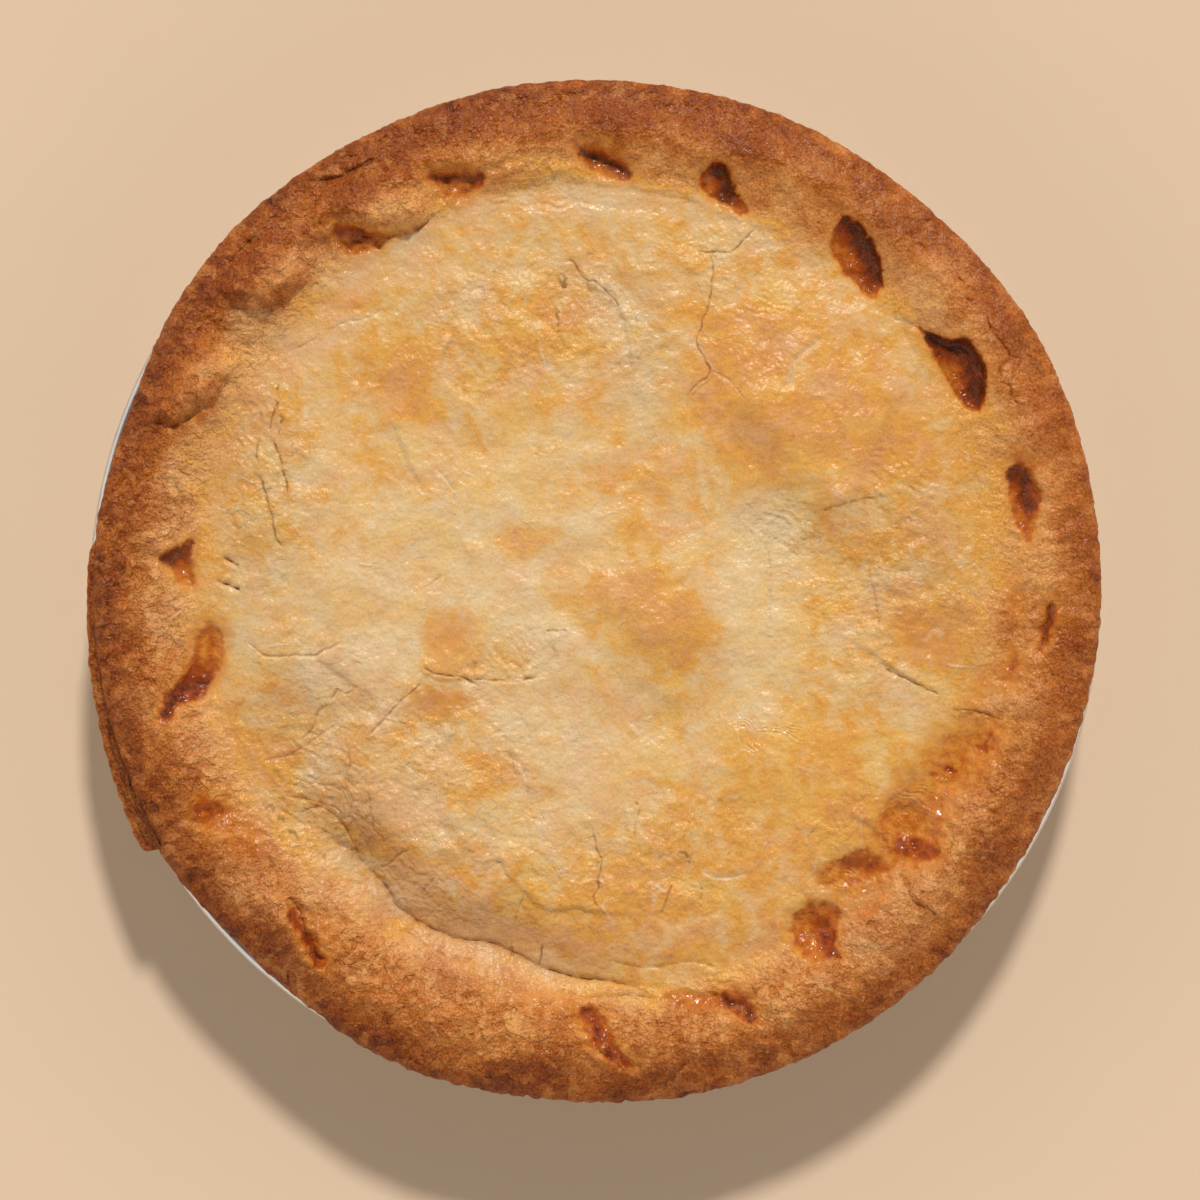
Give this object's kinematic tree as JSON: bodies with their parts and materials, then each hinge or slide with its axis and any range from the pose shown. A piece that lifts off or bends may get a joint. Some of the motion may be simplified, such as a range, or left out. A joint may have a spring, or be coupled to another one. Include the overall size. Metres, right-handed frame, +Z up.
{
  "type": "lobster pot pie",
  "caption": "Round double-crusted pot pie, uncut, with a browned hand-crimped rim and a pale golden, cracked lid, in the shallow aluminium tin it was baked in.",
  "frame": {"origin": "middle of the tin's flat base, on the surface the pie stands on", "axes": "+Z up through the middle of the lid; +X to the right and +Y to the top as the picture shows the pie from above"},
  "size_m": [0.2449, 0.2465, 0.0449],
  "materials": {
    "pastry": "baked pastry: pale gold lid, browned rim, patches of egg glaze",
    "tin_foil": "bright pressed sheet with a rolled edge"
  },
  "bodies": {
    "root": {"pie": "pastry", "tin": "tin_foil"}
  },
  "joints": []
}
